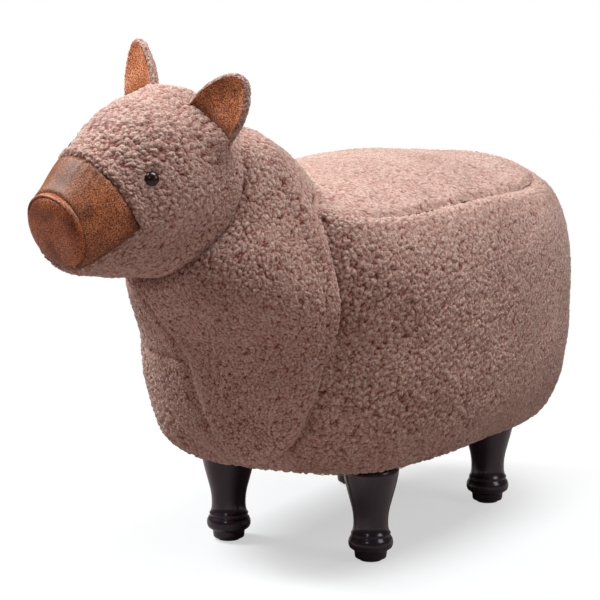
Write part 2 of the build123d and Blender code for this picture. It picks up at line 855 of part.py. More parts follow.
# Ears: a fleece back and a leather front, rooted on the head
for name, side in (("left", 1), ("right", -1)):
    outward = left * side
    root = head_center - forward * ear_place + outward * ear_spread + up * ear_rise
    base = -forward * ear_base_sweep + outward * ear_spread - up * ear_base_fall
    base = base.normalized()
    tip = -forward * ear_tip_back + outward * ear_tip_out + up * ear_tip_up
    rise = (tip - base * tip.dot(base)).normalized()
    ear_plane = Plane(origin=root, x_dir=base * side, z_dir=base.cross(rise) * side)
    tip_x, tip_y = side * tip.dot(base), tip.dot(rise)
    half = ear_width / 2
    with BuildSketch(ear_plane) as ear_outline:
        with BuildLine():
            Polyline((-half, 0), (-half, -ear_root), (half, -ear_root), (half, 0))
            for foot_x, out in ((-half, -1), (half, 1)):
                run = hypot(tip_x - foot_x, tip_y)
                bulge = Vector(tip_y, foot_x - tip_x) * (out * ear_bulge / run)
                middle = Vector((foot_x + tip_x) / 2, tip_y / 2) + bulge
                ThreePointArc((foot_x, 0), (middle.X, middle.Y), (tip_x, tip_y))
        make_face()
        fillet(ear_outline.vertices().sort_by(Axis.Y)[-1], radius=ear_tip_round)
    with BuildPart() as ear_back:
        extrude(ear_outline.sketch, amount=-fleece)
        add(head_room, mode=Mode.SUBTRACT)
    ear_back.part.label = f"ear_back_{name}"
    export_step(ear_back.part, f"parts/ear_back_{name}.step")
    with BuildPart() as ear_front:
        extrude(ear_outline.sketch, amount=leather)
        add(head_room, mode=Mode.SUBTRACT)
    ear_front.part.label = f"ear_front_{name}"
    export_step(ear_front.part, f"parts/ear_front_{name}.step")
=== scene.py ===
import math

import bpy
import numpy as np
from mathutils import Matrix, Vector, kdtree, noise


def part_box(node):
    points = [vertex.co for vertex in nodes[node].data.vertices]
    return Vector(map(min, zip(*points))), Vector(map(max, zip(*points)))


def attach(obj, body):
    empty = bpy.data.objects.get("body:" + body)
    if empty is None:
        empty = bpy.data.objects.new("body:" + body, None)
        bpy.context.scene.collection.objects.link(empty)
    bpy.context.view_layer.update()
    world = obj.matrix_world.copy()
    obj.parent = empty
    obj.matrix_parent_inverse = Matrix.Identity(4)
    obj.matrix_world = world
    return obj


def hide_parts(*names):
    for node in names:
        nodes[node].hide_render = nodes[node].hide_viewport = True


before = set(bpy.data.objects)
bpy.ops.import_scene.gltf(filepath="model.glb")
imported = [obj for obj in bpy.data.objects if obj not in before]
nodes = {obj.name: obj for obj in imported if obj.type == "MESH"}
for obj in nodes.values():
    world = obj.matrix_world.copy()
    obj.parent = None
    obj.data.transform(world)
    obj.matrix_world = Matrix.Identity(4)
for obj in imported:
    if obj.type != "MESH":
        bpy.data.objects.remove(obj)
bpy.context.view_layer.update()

# Frame box: softwood rails, corner blocks and neck post, sawn square, and screwed and
# glued between a base board and a seat board of plywood. The covers hide it all.
mm = 0.001


def principled(name, colour, roughness):
    """A new material, with its node tree and its shader."""
    material = bpy.data.materials.new(name)
    material.use_nodes = True
    shader = material.node_tree.nodes["Principled BSDF"]
    shader.inputs["Base Color"].default_value = (*colour, 1)
    shader.inputs["Roughness"].default_value = roughness
    return material, material.node_tree, shader


def add_noise(tree, scale, detail, stretch=(1, 1, 1)):
    """A noise in the object's own coordinates; scale is in cells per metre."""
    place = tree.nodes.new("ShaderNodeTexCoord")
    mapping = tree.nodes.new("ShaderNodeMapping")
    mapping.inputs["Scale"].default_value = stretch
    texture = tree.nodes.new("ShaderNodeTexNoise")
    texture.inputs["Scale"].default_value = scale
    texture.inputs["Detail"].default_value = detail
    tree.links.new(place.outputs["Object"], mapping.inputs["Vector"])
    tree.links.new(mapping.outputs["Vector"], texture.inputs["Vector"])
    return texture


def add_ramp(tree, value, stops):
    """A colour ramp on value, with stops of (place, colour)."""
    ramp = tree.nodes.new("ShaderNodeValToRGB")
    points = ramp.color_ramp.elements
    for point, (place, colour) in zip(points, (stops[0], stops[-1])):
        point.position, point.color = place, (*colour, 1)
    for place, colour in stops[1:-1]:
        points.new(place).color = (*colour, 1)
    tree.links.new(value, ramp.inputs["Fac"])
    return ramp


def add_bump(tree, shader, value, height):
    """A bump of that height in metres."""
    bump = tree.nodes.new("ShaderNodeBump")
    bump.inputs["Distance"].default_value = height
    tree.links.new(value, bump.inputs["Height"])
    tree.links.new(bump.outputs["Normal"], shader.inputs["Normal"])


def bare_wood(name, light, dark, stretch):
    """Unfinished wood, its grain drawn out by stretch."""
    material, tree, shader = principled(name, light, 0.7)
    grain = add_noise(tree, 60, 6, stretch)
    ramp = add_ramp(tree, grain.outputs["Fac"], [(0.35, dark), (0.6, light)])
    tree.links.new(ramp.outputs["Color"], shader.inputs["Base Color"])
    add_bump(tree, shader, grain.outputs["Fac"], 0.3 * mm)
    return material


def dress(material, *names):
    """Gives CAD nodes that stay as they are their finish."""
    for name in names:
        for place in nodes[name].material_slots:
            place.material = material


pine = bare_wood("pine", (0.62, 0.44, 0.24), (0.45, 0.28, 0.12), (1, 0.15, 1))
plywood = bare_wood("plywood", (0.55, 0.4, 0.22), (0.42, 0.27, 0.13), (0.2, 0.2, 4))
dress(pine, "side_rail_left", "side_rail_right", "front_rail", "rear_rail")
dress(pine, "corner_blocks", "neck_post")
dress(plywood, "base_board", "seat_board", "head_board")

# Fixings: zinc-plated screws, bolts, plates and staples. The hanger bolts are driven
# into the leg tops and turn into the plates' hubs under the base board.
zinc, zinc_tree, zinc_shader = principled("zinc_steel", (0.62, 0.61, 0.57), 0.35)
zinc_shader.inputs["Metallic"].default_value = 1
zinc_spangle = add_noise(zinc_tree, 300, 3)
zinc_tones = add_ramp(
    zinc_tree, zinc_spangle.outputs["Fac"], [(0.3, (0.5, 0.5, 0.47)), (0.7, (0.68, 0.67, 0.63))]
)
zinc_tree.links.new(zinc_tones.outputs["Color"], zinc_shader.inputs["Base Color"])
dress(zinc, "frame_screws", "neck_screws", "neck_bolts", "leg_plates", "hanger_bolts", "staples")

# Stuffing: open-cell foam blocks round the frame and under the seat, and loose fibre in
# the neck and the head.
foam, foam_tree, foam_shader = principled("foam", (0.82, 0.75, 0.52), 0.9)
foam_cells = add_noise(foam_tree, 700, 4)
add_bump(foam_tree, foam_shader, foam_cells.outputs["Fac"], 0.6 * mm)
fibre, fibre_tree, fibre_shader = principled("fibre", (0.86, 0.86, 0.84), 0.95)
fibre_tangle = add_noise(fibre_tree, 160, 8, (1, 3, 1))
add_bump(fibre_tree, fibre_shader, fibre_tangle.outputs["Fac"], 2 * mm)
dress(foam, "barrel_foam", "seat_foam")
dress(fibre, "neck_filling", "head_filling")

# Dust cover: thin black non-woven cloth under the base board, stapled all round.
dust_cloth, dust_tree, dust_shader = principled("dust_cloth", (0.02, 0.02, 0.021), 0.85)
dust_fibres = add_noise(dust_tree, 900, 6, (1, 0.2, 1))
add_bump(dust_tree, dust_shader, dust_fibres.outputs["Fac"], 0.3 * mm)
dress(dust_cloth, "dust_cover")

# Legs: turned hardwood under a near-black gloss lacquer, with a drum foot, a bead ring, a
# waist and a swell up to the barrel. Each stands on a nailed plastic glide.
leg_profile = (  # radius and height, a repeated point is a sharp edge
    (0, 2.5), (15.2, 2.5), (15.6, 2.9), (16.0, 4.0), (16.4, 8.0), (16.9, 10.6), (17.5, 11.2),
    (19.4, 11.8), (21.4, 13.4), (22.4, 15.8), (22.6, 18.4), (22.2, 21.2), (21.0, 23.8),
    (19.9, 25.2), (19.5, 26.4), (19.9, 27.2), (20.1, 28.0), (19.6, 28.9), (18.7, 30.2),
    (17.8, 33.4), (17.5, 37.0), (17.5, 42.0), (18.0, 47.5), (19.1, 54.0), (20.7, 60.0),
    (22.6, 67.0), (24.6, 74.5), (26.4, 82.0), (27.8, 89.0), (28.9, 97.9), (0, 97.9),
)
leg_sides = 96

lacquer, lacquer_tree, lacquer_shader = principled("dark_lacquer", (0.016, 0.009, 0.012), 0.3)
lacquer_grain = add_noise(lacquer_tree, 45, 6, (1, 1, 0.12))
lacquer_tones = add_ramp(
    lacquer_tree,
    lacquer_grain.outputs["Fac"],
    [(0.35, (0.008, 0.005, 0.009)), (0.65, (0.024, 0.013, 0.018))],
)
lacquer_tree.links.new(lacquer_tones.outputs["Color"], lacquer_shader.inputs["Base Color"])
lacquer_shader.inputs["Specular IOR Level"].default_value = 0.35
lacquer_shader.inputs["Specular Tint"].default_value = (0.88, 0.75, 1.0, 1)
lacquer_shader.inputs["Coat Weight"].default_value = 0.7
lacquer_shader.inputs["Coat Roughness"].default_value = 0.12
add_bump(lacquer_tree, lacquer_shader, lacquer_grain.outputs["Fac"], 0.12 * mm)


def mesh_object(name, points, faces, material, smooth=True):
    """A new mesh object from points in metres."""
    mesh = bpy.data.meshes.new(name)
    mesh.from_pydata([tuple(p) for p in points], [], faces)
    mesh.materials.append(material)
    mesh.polygons.foreach_set("use_smooth", [smooth] * len(mesh.polygons))
    made = bpy.data.objects.new(name, mesh)
    bpy.context.scene.collection.objects.link(made)
    return made


def grid_faces(rows, columns, closed):
    """The quads of a grid of points, given row by row."""
    across = np.arange(columns if closed else columns - 1)
    beside = (across + 1) % columns
    corners = [
        np.stack([r * columns + across, r * columns + beside,
                  (r + 1) * columns + beside, (r + 1) * columns + across], axis=1)
        for r in range(rows - 1)
    ]
    return np.concatenate(corners).tolist()


def turned(name, profile, centre, material, sides):
    """A piece turned about an upright line through centre, from a profile in millimetres."""
    angle = np.linspace(0, 2 * math.pi, sides, endpoint=False)
    ring = np.stack([np.cos(angle), np.sin(angle)], axis=1)
    points = [(centre[0] + r * x * mm, centre[1] + r * y * mm, z * mm)
              for r, z in profile for x, y in ring]
    return mesh_object(name, points, grid_faces(len(profile), sides, True), material)


for leg in ("leg_front_left", "leg_front_right", "leg_rear_left", "leg_rear_right"):
    low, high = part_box(leg)
    middle = ((low[0] + high[0]) / 2, (low[1] + high[1]) / 2)
    turning = turned(f"{leg}_turned", leg_profile, middle, lacquer, leg_sides)
    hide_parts(leg)
    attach(turning, "root")

glide_plastic, glide_tree, glide_shader = principled("glide_plastic", (0.03, 0.03, 0.03), 0.5)
glide_scuffs = add_noise(glide_tree, 900, 4)
add_bump(glide_tree, glide_shader, glide_scuffs.outputs["Fac"], 0.1 * mm)
dress(glide_plastic, "foot_glides", "eye_washers")

# Barrel covers: curly fleece, cut as a left and a right side panel, sewn together down the
# front and the rear, drawn over the foam, tacked under the base board and drawn in where
# the neck is sewn on.
barrel_y = 94.5
barrel_rows = np.array((  # height, half width, half length, shift to the rear
    (98.6, 114.0, 196.0, 0.0),
    (98.8, 128.0, 218.0, 13.0),
    (103.0, 138.5, 228.0, 13.0),
    (112.0, 149.0, 238.5, 12.0),
    (135.4, 164.5, 253.5, 8.5),
    (170.6, 173.0, 261.7, 3.2),
    (216.0, 175.5, 266.0, 0.0),
    (271.7, 174.5, 265.5, 0.0),
    (312.7, 168.0, 260.0, 0.0),
    (337.6, 157.0, 251.5, 0.0),
    (349.0, 146.0, 246.5, 0.0),
    (354.0, 131.5, 243.0, 0.0),
))
crown_height, crown_across, crown_along, crown_ahead = 387.0, 289.0, 2083.0, 90.0
neck_rows = np.array((  # half width, height, sideways middle, lengthways middle, half depth
    (2.0, 123.0, -1.9, -137.5, 2.0),
    (41.7, 130.4, -2.1, -137.5, 33.4),
    (68.5, 149.4, -3.0, -137.5, 48.4),
    (95.8, 189.2, -4.1, -137.5, 62.5),
    (109.7, 240.0, -5.1, -139.3, 73.0),
    (108.0, 298.9, -7.9, -157.7, 88.9),
    (101.0, 330.7, -10.9, -156.9, 91.5),
    (91.0, 364.0, -15.0, -148.9, 88.0),
    (76.5, 413.4, -28.0, -163.9, 77.6),
    (66.3, 430.9, -32.1, -179.7, 68.8),
    (51.4, 442.0, -35.1, -190.3, 56.3),
    (20.0, 449.0, -44.0, -205.0, 22.0),
))


def smooth_rows(rows, count):
    """Rows of numbers, read as a smooth line and stepped evenly in its first two columns."""
    rows = np.asarray(rows, float)
    reach = np.concatenate([[0], np.cumsum(np.hypot(*np.diff(rows[:, :2], axis=0).T))])
    slope = np.gradient(rows, reach, axis=0)
    at = np.linspace(0, reach[-1], count)
    k = np.clip(np.searchsorted(reach, at, side="right") - 1, 0, len(rows) - 2)
    gap = (reach[k + 1] - reach[k])[:, None]
    t = (at[:, None] - reach[k][:, None]) / gap
    return ((2 * t**3 - 3 * t**2 + 1) * rows[k] + (t**3 - 2 * t**2 + t) * gap * slope[k]
            + (3 * t**2 - 2 * t**3) * rows[k + 1] + (t**3 - t**2) * gap * slope[k + 1])


def between(value, low, high):
    """0 below low, 1 above high, and smooth in between."""
    t = np.clip((value - low) / (high - low), 0, 1)
    return t * t * (3 - 2 * t)


def bell(value, width):
    """1 at zero, falling off smoothly on both sides within about width."""
    return np.exp(-((value / width) ** 2))


def outline(angle, power):
    """The unit outline that lies between an ellipse and a rectangle."""
    c, s = np.cos(angle), np.sin(angle)
    return np.sign(c) * np.abs(c) ** (2 / power), np.sign(s) * np.abs(s) ** (2 / power)


def plan_power(angle, height):
    """The plan has rounder corners low down and at the rear than under the neck."""
    return 3.0 + 1.2 * np.sqrt(np.clip(-np.sin(angle), 0, 1)) * between(height, 230, 330)


def even_angles(half_wide, half_long, start, end, count):
    """Angles that step evenly round an outline."""
    mean_power = 3.2
    fine = np.linspace(start, end, 6000)
    x, y = outline(fine, mean_power)
    steps = np.hypot(half_wide * np.diff(x), half_long * np.diff(y))
    reach = np.concatenate([[0], np.cumsum(steps)])
    return np.interp(np.linspace(0, reach[-1], count), reach, fine)


def crown(x, y):
    """The height of the seat's crown over a point of the plan."""
    widest = 200
    drop = crown_across - np.sqrt(crown_across**2 - np.clip(x, -widest, widest) ** 2)
    return crown_height - drop - (y - barrel_y + crown_ahead) ** 2 / (2 * crown_along)


def outside_barrel(points):
    """How far points lie outside the barrel, in millimetres."""
    x, y, z = points[..., 0], points[..., 1], points[..., 2]
    wide, long, shift = (np.interp(z, barrel_rows[:, 0], barrel_rows[:, k]) for k in (1, 2, 3))
    y_share = np.abs((y - barrel_y - shift) / long)
    share = (np.abs(x / wide) ** 3 + y_share**3) ** (1 / 3)
    return np.maximum((share - 1) * wide, z - crown(x, y))


def outside_neck(points):
    """How far points lie outside the neck, in millimetres."""
    x, y, z = points[..., 0], points[..., 1], points[..., 2]
    wide, side, back, deep = (np.interp(z, neck_rows[:, 1], neck_rows[:, k]) for k in (0, 2, 3, 4))
    share = np.hypot((x - side) / wide, (y - back) / deep)
    return (share - 1) * deep + np.clip(neck_rows[0, 1] - z, 0, None)


def normals_of(points):
    """The outward direction at each point of a grid."""
    down, along = np.gradient(points, axis=0), np.gradient(points, axis=1)
    out = np.cross(along, down)
    return out / np.maximum(np.linalg.norm(out, axis=2, keepdims=True), 1e-9)


def curls(points, size, seed):
    """The pile's height, and the tone of its painted shade, 0 in the gaps and 1 on the curls, at
    points in millimetres.
    """
    bend, bend_pitch, stretch, shortest = 0.6, 0.55, (1.1, 1.1, 0.9), 0.68
    gap_width, curl_radius = 0.5, 0.9
    size = np.broadcast_to(size, points.shape[:2]).reshape(-1, 1)
    flat = (points - points.mean(axis=(0, 1))).reshape(-1, 3) / size
    noise.seed_set(seed)  # or else the bends would differ with the time of day
    bent = np.array([noise.noise_vector(p) for p in flat * bend_pitch + seed])
    flat = (flat + bend * bent) / stretch
    # Each cell of the bent lattice has one curl, at a random place in it
    chance = np.random.default_rng(seed)
    near = np.unique(np.floor(flat).astype(int), axis=0)
    steps = np.array([(i, j, k) for i in (-1, 0, 1) for j in (-1, 0, 1) for k in (-1, 0, 1)])
    cells = np.unique((near[:, None] + steps).reshape(-1, 3), axis=0)
    centres = cells + chance.uniform(0, 1, cells.shape)
    tall = chance.uniform(shortest, 1, len(cells))
    tree = kdtree.KDTree(len(cells))
    for i, centre in enumerate(centres):
        tree.insert(centre, i)
    tree.balance()
    found = [tree.find_n(p, 2) for p in flat]
    first = np.array([hit[0][2] for hit in found])
    second = np.array([hit[1][2] for hit in found])
    owner = np.array([hit[0][1] for hit in found])
    gap = np.clip((second - first) / gap_width, 0, 1)
    dome = np.clip(1 - (first / curl_radius) ** 2, 0, 1)
    tone = 0.7 * gap * (2 - gap) + 0.3 * dome
    return (tall[owner] * tone).reshape(points.shape[:2]), tone.reshape(points.shape[:2])


def swell(points, size, seed):
    """Slow, soft unevenness between -1 and 1, at points in millimetres."""
    flat = points.reshape(-1, 3) / size + seed
    return np.array([noise.noise(p) for p in flat]).reshape(points.shape[:2])


fleece_light, fleece_mid = (0.6, 0.415, 0.35), (0.48, 0.265, 0.215)
fleece_low, fleece_dark = (0.27, 0.096, 0.076), (0.085, 0.022, 0.016)
fleece, fleece_tree, fleece_shader = principled("fleece", fleece_mid, 0.95)
fleece_shader.inputs["Sheen Weight"].default_value = 0.25
fleece_shader.inputs["Sheen Roughness"].default_value = 0.5
fleece_shader.inputs["Sheen Tint"].default_value = (1.0, 0.9, 0.85, 1)
fleece_shader.inputs["Specular IOR Level"].default_value = 0.1
# The ramp on the pile value paints shade into the fleece: darkest in the gaps between the curls,
# lightest on their tops.
pile_height = fleece_tree.nodes.new("ShaderNodeAttribute")
pile_height.attribute_name = "pile"
pile_gap_shade_tones = add_ramp(
    fleece_tree,
    pile_height.outputs["Fac"],
    [(0.03, fleece_dark), (0.2, fleece_low), (0.42, fleece_mid), (0.85, fleece_light)],
)


def add_blend(tree, kind, amount, first, second):
    """The socket of two colour sockets, blended; kind is the blend's name."""
    blend = tree.nodes.new("ShaderNodeMix")
    blend.data_type, blend.blend_type = "RGBA", kind
    blend.inputs[0].default_value = amount
    tree.links.new(first, blend.inputs[6])
    tree.links.new(second, blend.inputs[7])
    return blend.outputs[2]


pile_fibres = add_noise(fleece_tree, 520, 3)
pile_shade = add_ramp(
    fleece_tree, pile_fibres.outputs["Fac"], [(0.36, (0.45, 0.4, 0.38)), (0.62, (1.0, 1.0, 1.0))]
)
pile_patches = add_noise(fleece_tree, 14, 3)
pile_wear = add_ramp(
    fleece_tree, pile_patches.outputs["Fac"], [(0.35, (0.86, 0.84, 0.83)), (0.65, (1.0, 1.0, 1.0))]
)
pile_mix = add_blend(
    fleece_tree, "MULTIPLY", 0.8, pile_gap_shade_tones.outputs["Color"], pile_shade.outputs["Color"]
)
pile_mix = add_blend(fleece_tree, "MULTIPLY", 1.0, pile_mix, pile_wear.outputs["Color"])
fleece_tree.links.new(pile_mix, fleece_shader.inputs["Base Color"])
add_bump(fleece_tree, fleece_shader, pile_fibres.outputs["Fac"], 1.6 * mm)


def fleece_sheet(name, points, closed, size, depth, lift, seed):
    """A cover of curly fleece on a grid of points in millimetres."""
    pile_level, unevenness, uneven_width, uneven_tone = 0.6, 1.3, 45, 0.06
    height, tone = curls(points, size, seed)
    soft = swell(points, uneven_width, seed)
    push = depth * (height - pile_level) + unevenness * soft + lift
    raised = points + normals_of(points) * push[..., None]
    faces = grid_faces(*points.shape[:2], closed)
    made = mesh_object(name, raised.reshape(-1, 3) * mm, faces, fleece)
    # The pile value is painted shade, dark in the gaps and light on the curls; it is also a little
    # lighter where the cover swells out.
    pile = made.data.attributes.new("pile", "FLOAT", "POINT")
    pile.data.foreach_set("value", np.clip(tone + uneven_tone * soft, 0, 1).ravel())
    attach(made, "root")
    return made


seat_height, seat_wide, seat_long, _ = barrel_rows[-1]
shoulder_height = 260  # from here up the panel's rows bend to the edge of the crown
seam_overlap = 0.004  # how far the panels run past the front and rear seams, in radians
seam_groove, seam_width = 2.2, 4.5  # how deep and wide the covers are drawn in at the top seam
side_neck_pull, seat_neck_pull, pull_width = 3.6, 2.4, 8  # the same, at the seam of the neck
side_tucks = ((2.5, 0.5), (5, 2), (8, 4))  # how far the rows beyond the top edge turn in and down
widest, longest, side_rows, side_columns = 175, 265, 195, 500
height, wide, long, shift = (c[:, None] for c in smooth_rows(barrel_rows, side_rows).T)
for side, start in (("left", -math.pi / 2), ("right", math.pi / 2)):
    first, last = start - seam_overlap, start + math.pi + seam_overlap
    angles = even_angles(widest, longest, first, last, side_columns)[None, :]
    round_x, round_y = outline(angles, plan_power(angles, height))
    x = wide * round_x
    y = barrel_y + shift + long * round_y
    seam_drop = seat_height - crown(x[-1], y[-1])
    bend = np.clip((height - shoulder_height) / (seat_height - shoulder_height), 0, 1) ** 1.6
    z = height - bend * seam_drop
    panel = np.stack([x, y, z], axis=2)
    to_seam = np.linalg.norm(panel - panel[-1], axis=2)
    to_neck = np.clip(outside_neck(panel), 0, None)
    # A roll runs along the top seam, and sinks towards the rear
    rear = between(y, 150, 310)
    lift = (0.9 - 2.6 * rear) * bell(to_seam - 12, 8) - seam_groove * bell(to_seam, seam_width)
    lift = lift - side_neck_pull * bell(to_neck, pull_width)
    # The stuffing sits a little unevenly, fuller low down and along the far side of the seat
    if side == "left":
        lift = lift + 4.5 * bell(height - 104, 16) * between(y, 60, 200) * between(x, 15, 80)
        lift = lift - 4 * bell(height - 150, 26) * between(y, 240, 300) * between(x, 15, 80)
    else:
        lift = lift + 5.5 * bell(height - 118, 24) * between(-y, 20, 90) * between(-x, 20, 100)
        lift = lift + 5 * bell(to_seam, 35) * bell(y - 190, 110) * between(-x, 5, 60)
    front_curls = 1 - between(y, 20, 150)
    size, depth = 3.9 + 1.3 * front_curls, 2.1 + 1.7 * front_curls
    # The top edge turns in under the seat panel
    top_x, top_y, top_edge = round_x[-1:], round_y[-1:], panel[-1:]
    for inward, down in side_tucks:
        turned_in = np.stack([inward * top_x, inward * top_y, down + 0 * top_x], axis=2)
        panel = np.concatenate([panel, top_edge - turned_in])
    lift, size, depth = (
        np.concatenate([v, np.repeat(v[-1:], len(side_tucks), axis=0)]) for v in (lift, size, depth)
    )
    cover = fleece_sheet(f"side_fleece_{side}", panel, False, size, depth, lift, seed=3)
    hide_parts(f"side_cover_{side}")

# Seat panel: the same fleece over a crowned foam seat, sewn to the side panels along a
# seam that runs round the top.
seat_rows, seat_columns = 320, 176
angles = even_angles(seat_wide, seat_long, -math.pi / 2, math.pi / 2, seat_rows)[:, None]
round_x, round_y = outline(angles, plan_power(angles, seat_height))
across = np.linspace(-1, 1, seat_columns)[None, :]
x = np.maximum(seat_wide * round_x, 0.5) * across
y = barrel_y + seat_long * round_y + 0 * across
seat = np.stack([x, y, crown(x, y)], axis=2)
to_side, to_end = seat_wide * round_x * (1 - np.abs(across)), seat_long * (1 - np.abs(round_y))
to_seam = np.minimum(to_side, to_end)
to_neck = np.clip(outside_neck(seat), 0, None)
lift = 0.9 * bell(to_seam - 10, 7) - seam_groove * bell(to_seam, seam_width)
lift = lift - seat_neck_pull * bell(to_neck, pull_width)
# The stuffing is fuller along the far side, towards the rear
lift = lift + 6.5 * bell(x + 95, 60) * bell(y - 190, 110)
seat_fleece = fleece_sheet("seat_fleece", seat, False, 4.5, 2.6, lift, seed=11)
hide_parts("seat_cover")

# Neck cover: two halves of fleece sewn together down the throat and the nape, pulled over
# the neck's filling, with a rolled edge where the chest lobe is sewn to the barrel.
head_turn, head_nod, head_roll = math.radians(19.3), math.radians(8.0), math.radians(8.4)
forward = np.array((-math.sin(head_turn) * math.cos(head_nod),
                    -math.cos(head_turn) * math.cos(head_nod), -math.sin(head_nod)))
level_left = np.array((math.cos(head_turn), -math.sin(head_turn), 0.0))
left = level_left * math.cos(head_roll) - np.cross(forward, level_left) * math.sin(head_roll)
up = np.cross(forward, left)
head_ahead = 326.6  # from the middle of the barrel to the middle of the head
head_middle = np.array((-51.3, barrel_y - head_ahead, 406.0))
head_rows = smooth_rows((  # place from back to nose, half width, top, bottom
    (-86.0, 0.0, 0.0, 0.0), (-83.4, 17.2, 17.2, 17.2), (-74.0, 42.0, 42.0, 43.0),
    (-53.3, 66.2, 64.8, 67.9), (-21.5, 80.0, 77.8, 85.1), (8.6, 82.0, 78.6, 90.3),
    (36.1, 76.0, 70.8, 90.3), (61.9, 64.8, 56.5, 85.5), (87.7, 53.0, 39.8, 76.5),
    (111.8, 43.6, 17.8, 65.5), (119.0, 41.6, 12.0, 61.5), (141.0, 36.0, -6.0, 50.0),
), 600)
head_back = head_rows[0, 0]


def head_size(place):
    """Half width, and distances up and down from the head's middle line, at a place along it."""
    return (np.interp(place, head_rows[:, 0], head_rows[:, k]) for k in (1, 2, 3))


def outside_head(points):
    """How far points lie outside the head, in millimetres."""
    place, sideways, rise = ((points - head_middle) @ way for way in (forward, left, up))
    wide, top, bottom = head_size(place)
    tall = np.maximum((top + bottom) / 2, 1)
    share = np.hypot(sideways / np.maximum(wide, 1), (rise - (top - bottom) / 2) / tall)
    return (share - 1) * np.minimum(wide, tall) + np.clip(head_back - place, 0, None)


half_rows, half_columns = 310, 300
wide, height, middle_x, middle_y, deep = (c[:, None] for c in smooth_rows(neck_rows, half_rows).T)
throat = np.radians(np.interp(  # the front seam's angle at each height
    height,
    (124, 146, 170, 208, 226, 238, 258, 280, 300, 330),
    (-88, -94, -101, -103, -104, -107, -114, -120, -128, -134),
))
nape = math.radians(75)
half_overlap = 0.008  # the halves run past their seams by this share of their width
for side, start, end in (("left", throat, nape), ("right", nape, throat + 2 * math.pi)):
    shares = np.linspace(-half_overlap, 1 + half_overlap, half_columns)
    angles = start + (end - start) * shares
    x, y = middle_x + wide * np.cos(angles), middle_y + deep * np.sin(angles)
    half = np.stack([x, y, height + 0 * angles], axis=2)
    to_throat = deep * np.abs(angles - (throat if side == "left" else end))
    to_barrel, to_head = outside_barrel(half), outside_head(half)
    roll = between(to_barrel, 0.5, 6)
    low_down = 1 - between(height, 128, 175)
    under_head = 1 - between(height, 395, 425)
    # The edge rolls over its seam on the barrel, most on the left, where it is stuffed fullest
    full = 2.5
    if side == "left":
        to_nape = deep * np.abs(angles - nape)
        full = full + 5 * (1 - between(height, 340, 395)) * between(to_nape, 5, 50)
    lift = full * roll * np.exp(-np.clip(to_barrel - 7, 0, None) / 24)
    lift = lift - 3 * (1 - roll) * (1 - low_down) + 2.5 * low_down
    # It swells beside the throat seam and below the head, and is drawn in at both seams
    lift = lift + 2.0 * bell(to_throat - 9, 6)
    lift = lift - (3.2 - 2.4 * low_down) * bell(to_throat, 3.2)
    lift = lift - 3.5 * bell(to_head, 7) * under_head + 1.5 * (1 - under_head)
    lift = lift + 2.5 * bell(to_head - 15, 8)
    if side == "right":
        # A crease lies across the lobe, some way from the throat seam
        crease_height, crease_width = 223, 3
        crease = 3.0 * bell(height - crease_height, crease_width)
        lift = lift - crease * between(-to_throat, -75, -60)
    upper = between(height, 260, 390)
    size, depth = 3.4 + 1.3 * upper, 2.1 + 0.7 * upper
    cover = fleece_sheet(f"neck_fleece_{side}", half, False, size, depth, lift, seed=21)
    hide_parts(f"neck_cover_{side}")

# Head cover: one fleece cover from the nape to the face seam, with the chin below the
# leather, drawn tight over the filling and rolled over the top of the neck.
face_corner = (66.5, -19.0)  # where the face seam meets the leather's lower edge: place and rise
nose_point = (117.3, -21.8)  # the middle of the muzzle's end: place and rise
seam_slant, edge_slant, nose_slant = (math.radians(a) for a in (18.3, 38.7, 5.0))


def head_local(place, angle):
    """Sideways and upward distances on the head at a place along it and an angle round it."""
    wide, top, bottom = head_size(place)
    return wide * np.cos(angle), (top - bottom) / 2 + (top + bottom) / 2 * np.sin(angle)


def head_world(place, sideways, rise):
    """A point given in the head's own directions, in millimetres."""
    place, sideways, rise = (np.asarray(v, float)[..., None] for v in (place, sideways, rise))
    return head_middle + place * forward + sideways * left + rise * up


def seam_place(rise):
    """The face seam's place along the head at each rise."""
    return face_corner[0] + (rise - face_corner[1]) * math.tan(seam_slant)


def edge_rise(place):
    """The rise of the leather's lower edge at each place along the head."""
    return face_corner[1] - (place - face_corner[0]) * math.tan(edge_slant)


def nose_end(rise):
    """The place of the muzzle's end at each rise."""
    return nose_point[0] + (rise - nose_point[1]) * math.tan(nose_slant)


nose_out = forward * math.cos(nose_slant) - up * math.sin(nose_slant)
nose_wide, nose_tall, nose_rise = 42.0, 35.6, -24.6  # half width, half height and middle


def nose_spot(share, angle):
    """A point of the muzzle's end at a share of its outline and an angle round it."""
    rise = nose_rise + share * nose_tall * np.sin(angle)
    return head_world(nose_end(rise), share * nose_wide * np.cos(angle), rise)


def nose_rim(points, share):
    """The points of the nose's outline, at a share of its size, that lie nearest to points."""
    sideways, rise = (points - head_middle) @ left, (points - head_middle) @ up
    return nose_spot(share, np.arctan2((rise - nose_rise) / nose_tall, sideways / nose_wide))


def ear_frame(sign):
    """The root of an ear and its directions: along its foot, up it and to its front."""
    outward = left * sign
    root = head_middle - forward * 28.8 + outward * 51 + up * 62.5
    foot = -forward * 6 + outward * 50 - up * 26
    foot = foot / np.linalg.norm(foot)
    tip = -forward * 19.4 + outward * 29 + up * 47.5
    climb = tip - foot * (tip @ foot)
    climb = climb / np.linalg.norm(climb)
    return root, foot, climb, np.cross(foot, climb) * sign


head_columns, tuck_rows = 360, 9
round_head = np.linspace(-math.pi / 2, 3 * math.pi / 2, head_columns + 1)[:-1]
along_head = np.linspace(head_back, 150, 1200)[:, None]
_, rise = head_local(along_head, round_head)
before_nose = along_head < nose_end(rise) + 2
fleecy = ((along_head < seam_place(rise)) | (rise < edge_rise(along_head))) & before_nose
head_end = along_head[fleecy.argmin(axis=0) - 1, 0]
steps = np.sin(np.linspace(-1, 0.75, 165) * math.pi / 2)
steps = (steps - steps[0]) / (steps[-1] - steps[0])
place = head_back + (head_end - head_back) * steps[:, None]
sideways, rise = head_local(place, round_head)
skin = head_world(place, sideways, rise)
